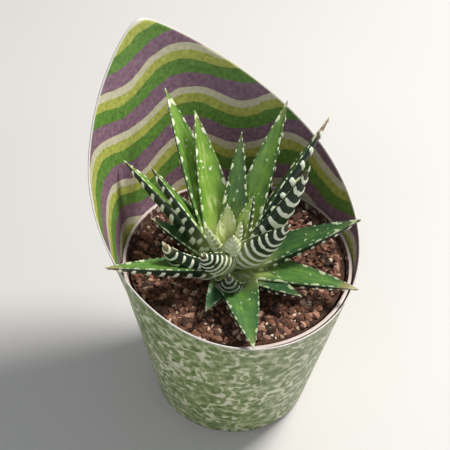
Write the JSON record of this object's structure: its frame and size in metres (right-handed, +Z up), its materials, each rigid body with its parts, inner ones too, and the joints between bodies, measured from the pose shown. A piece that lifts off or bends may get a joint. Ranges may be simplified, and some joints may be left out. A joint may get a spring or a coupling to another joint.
{
  "type": "potted zebra haworthia",
  "caption": "Small rosette of pointed, white-banded succulent leaves in a tapered nursery pot, wrapped in a printed sleeve whose back rises to a rounded tip.",
  "frame": {"origin": "centre of the pot's flat underside, on the surface that the pot stands on", "axes": "+Z up along the pot's axis, +Y towards the tip of the sleeve, +X to the right of someone who looks along +Y"},
  "size_m": [0.1034, 0.1057, 0.1396],
  "materials": {
    "pot_plastic": "satin",
    "potting_soil": "matte",
    "printed_sheet": "satin",
    "leaf_green": "satin"
  },
  "bodies": {
    "root": {"nursery_pot": "pot_plastic", "soil_plug": "potting_soil", "flame_sleeve": "printed_sheet", "rosette": "leaf_green"}
  },
  "joints": []
}
